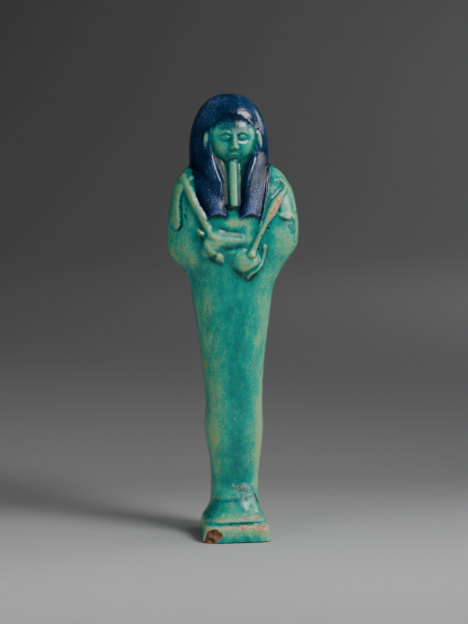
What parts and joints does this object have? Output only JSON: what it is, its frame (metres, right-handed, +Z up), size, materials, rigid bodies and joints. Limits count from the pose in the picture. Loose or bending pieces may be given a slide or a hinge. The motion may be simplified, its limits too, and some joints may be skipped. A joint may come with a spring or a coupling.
{
  "type": "ushabti figurine",
  "caption": "Mummiform funerary figurine of glazed faience: wig, plain beard, crossed hands with hoes and a seed bag, on a low integral plinth with a back pillar.",
  "frame": {"origin": "centre of the plinth's underside", "axes": "+Z up along the figure's height, -Y the way the figure faces, +X to the figure's left"},
  "size_m": [0.0448, 0.0306, 0.15],
  "materials": {
    "glazed_faience": "turquoise alkaline glaze, pooled dark in the recesses and thin on the ridges, with a cobalt blue wig"
  },
  "bodies": {
    "root": {"ushabti_figure": "glazed_faience"}
  },
  "joints": []
}
